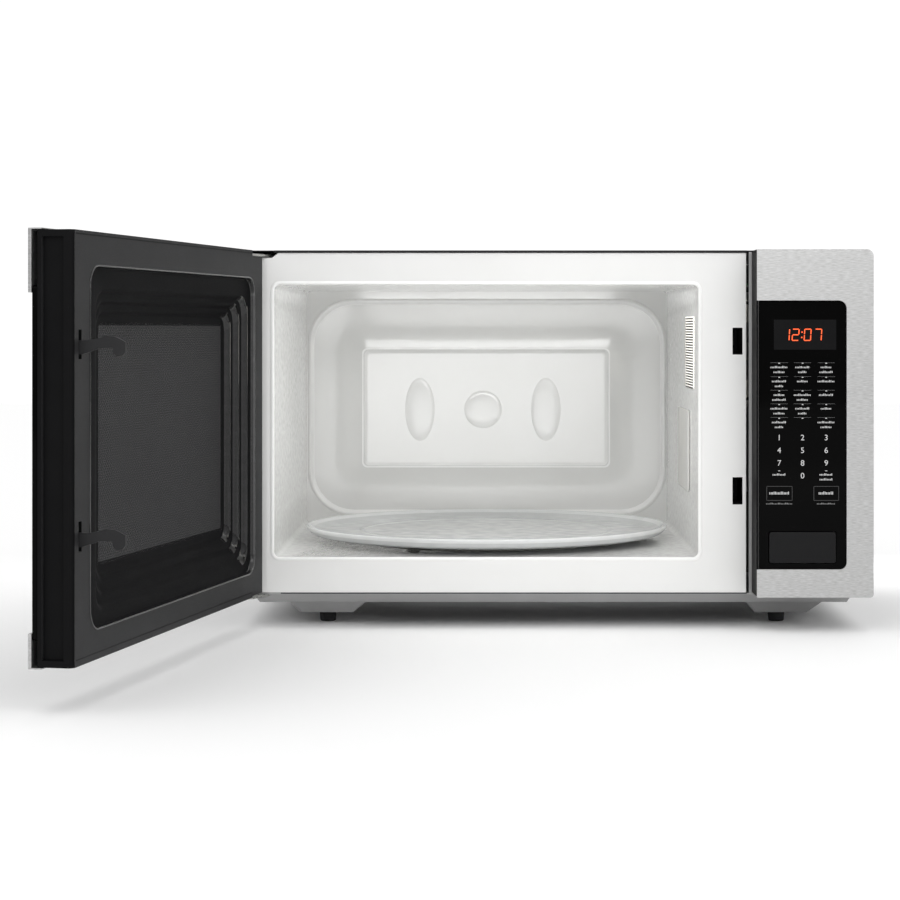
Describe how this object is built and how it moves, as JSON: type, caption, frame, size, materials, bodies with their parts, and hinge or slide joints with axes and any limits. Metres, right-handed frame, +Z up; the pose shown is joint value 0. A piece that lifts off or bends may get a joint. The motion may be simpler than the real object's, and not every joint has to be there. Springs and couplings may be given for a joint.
{
  "type": "microwave oven",
  "caption": "Countertop microwave oven with a side-hinged door, latch hooks, stainless control panel, enamelled cavity and a turning glass tray on a roller ring.",
  "frame": {"origin": "centre of the underside of the front left foot", "axes": "+X to the right as seen from the front, +Y towards the back, +Z up"},
  "size_m": [0.647, 0.8528, 0.332],
  "materials": {
    "black_powder_coat": "black powder coat, fine texture",
    "white_enamel": "glossy white enamel on steel",
    "galvanised_steel": "galvanised sheet, soft grey",
    "stainless_steel": "stainless steel brushed horizontally",
    "zinc_plate": "bright zinc plate",
    "black_plastic": "black moulded ABS",
    "charcoal_plastic": "charcoal moulded ABS, fine texture",
    "charcoal_steel_screen": "charcoal painted steel with a fine perforated field",
    "white_plastic": "natural white moulded plastic",
    "black_glass": "black glass, polished",
    "circuit_board": "green solder mask",
    "mica_sheet": "pressed mica sheet",
    "transformer_iron": "varnished laminated iron with copper windings",
    "lamp_glass": "clear lamp glass",
    "tray_glass": "clear tempered glass",
    "clear_film": "thin smoked plastic window film",
    "rubber": "black rubber"
  },
  "bodies": {
    "cabinet": {"outer_cover": "black_powder_coat", "front_plate": "white_enamel", "panel_mount": "galvanised_steel", "cavity_shell": "white_enamel", "cavity_rear_wall": "white_enamel", "base_pan": "galvanised_steel", "back_panel": "black_powder_coat", "cord_inlet": "black_plastic", "hinge_bracket_upper": "zinc_plate", "hinge_bracket_lower": "zinc_plate", "panel_fascia": "stainless_steel", "panel_housing": "black_plastic", "control_glass": "black_glass", "display_module": "black_plastic", "control_board": "circuit_board", "lever_pin": "zinc_plate", "latch_bracket": "black_plastic", "waveguide": "galvanised_steel", "waveguide_cover": "mica_sheet", "magnetron": "galvanised_steel", "power_transformer": "transformer_iron", "hv_capacitor": "galvanised_steel", "hv_diode": "black_plastic", "fan_shroud": "white_plastic", "fan_motor": "galvanised_steel", "lamp_holder": "white_plastic", "lamp_bulb": "lamp_glass", "filter_board": "circuit_board", "thermal_cutout": "black_plastic", "foot_front_left": "rubber", "foot_front_right": "rubber", "foot_rear_left": "rubber", "foot_rear_right": "rubber", "door_switch_upper": "black_plastic", "door_switch_lower": "black_plastic", "door_switch_monitor": "black_plastic", "turntable_motor": "galvanised_steel"},
    "door": {"door_facia": "stainless_steel", "door_glass": "black_glass", "door_frame": "charcoal_plastic", "door_screen": "charcoal_steel_screen", "door_recess_liner": "black_plastic", "door_window_film": "clear_film", "latch_spring": "zinc_plate"},
    "latch_hooks": {"latch_hooks": "black_plastic"},
    "release_button": {"release_button": "black_plastic"},
    "release_lever": {"release_lever": "white_plastic"},
    "switch_plunger_upper": {"switch_plunger_upper": "white_plastic"},
    "switch_plunger_lower": {"switch_plunger_lower": "white_plastic"},
    "switch_plunger_monitor": {"switch_plunger_monitor": "white_plastic"},
    "fan_blade": {"fan_blade": "white_plastic"},
    "drive_coupler": {"drive_coupler": "white_plastic"},
    "glass_turntable": {"glass_turntable": "tray_glass"},
    "roller_ring": {"roller_ring": "white_plastic"},
    "roller_1": {"roller_1": "white_plastic"},
    "roller_2": {"roller_2": "white_plastic"},
    "roller_3": {"roller_3": "white_plastic"}
  },
  "joints": [
    {"name": "door_swing", "type": "hinge", "parent": "cabinet", "child": "door", "pos_m": [-0.066, -0.065, 0.18], "axis": [0, 0, 1], "range_deg": [-7, 101]},
    {"name": "latch_lift", "type": "slide", "parent": "door", "child": "latch_hooks", "axis": [0, 0, 1], "range_m": [0, 0.004], "stiffness_N_per_m": 150, "springref_m": -0.008, "deforming": ["latch_spring"]},
    {"name": "button_press", "type": "slide", "parent": "cabinet", "child": "release_button", "axis": [0, 1, 0], "range_m": [0, 0.005], "stiffness_N_per_m": 300, "springref_m": -0.004},
    {"name": "lever_tilt", "type": "hinge", "parent": "cabinet", "child": "release_lever", "pos_m": [0.416, -0.0645, 0.054], "axis": [-1, 0, 0], "range_deg": [0, 14.5]},
    {"name": "fan_spin", "type": "hinge", "parent": "cabinet", "child": "fan_blade", "pos_m": [0.404, 0.33, 0.24], "axis": [0, 1, 0], "continuous": true},
    {"name": "coupler_spin", "type": "hinge", "parent": "cabinet", "child": "drive_coupler", "pos_m": [0.1427, 0.128, 0.06], "axis": [0, 0, 1], "continuous": true},
    {"name": "tray_lift", "type": "slide", "parent": "drive_coupler", "child": "glass_turntable", "axis": [0, 0, 1], "range_m": [0, 0.012]},
    {"name": "ring_spin", "type": "hinge", "parent": "cabinet", "child": "roller_ring", "pos_m": [0.1427, 0.128, 0.06], "axis": [0, 0, 1], "continuous": true},
    {"name": "plunger_upper_press", "type": "slide", "parent": "cabinet", "child": "switch_plunger_upper", "axis": [0, 1, 0], "range_m": [0, 0.0015], "stiffness_N_per_m": 400, "springref_m": -0.001},
    {"name": "plunger_lower_press", "type": "slide", "parent": "cabinet", "child": "switch_plunger_lower", "axis": [0, 1, 0], "range_m": [0, 0.0015], "stiffness_N_per_m": 400, "springref_m": -0.001},
    {"name": "plunger_monitor_press", "type": "slide", "parent": "cabinet", "child": "switch_plunger_monitor", "axis": [0, 1, 0], "range_m": [0, 0.0015], "stiffness_N_per_m": 400, "springref_m": -0.001},
    {"name": "roller_1_spin", "type": "hinge", "parent": "roller_ring", "child": "roller_1", "pos_m": [0.12065, 0.03251, 0.0595], "axis": [-0.225, -0.9744, 0], "continuous": true},
    {"name": "roller_2_spin", "type": "hinge", "parent": "roller_ring", "child": "roller_2", "pos_m": [0.23642, 0.15665, 0.0595], "axis": [0.9563, 0.2924, 0], "continuous": true},
    {"name": "roller_3_spin", "type": "hinge", "parent": "roller_ring", "child": "roller_3", "pos_m": [0.07103, 0.19484, 0.0595], "axis": [-0.7314, 0.682, 0], "continuous": true}
  ],
  "couplings": [
    {"joint": "lever_tilt", "follows": "button_press", "rad_per_m": 48.5},
    {"joint": "ring_spin", "follows": "coupler_spin", "ratio": 0.5},
    {"joint": "roller_1_spin", "follows": "coupler_spin", "ratio": -7.1014},
    {"joint": "roller_2_spin", "follows": "coupler_spin", "ratio": -7.1014},
    {"joint": "roller_3_spin", "follows": "coupler_spin", "ratio": -7.1014}
  ]
}
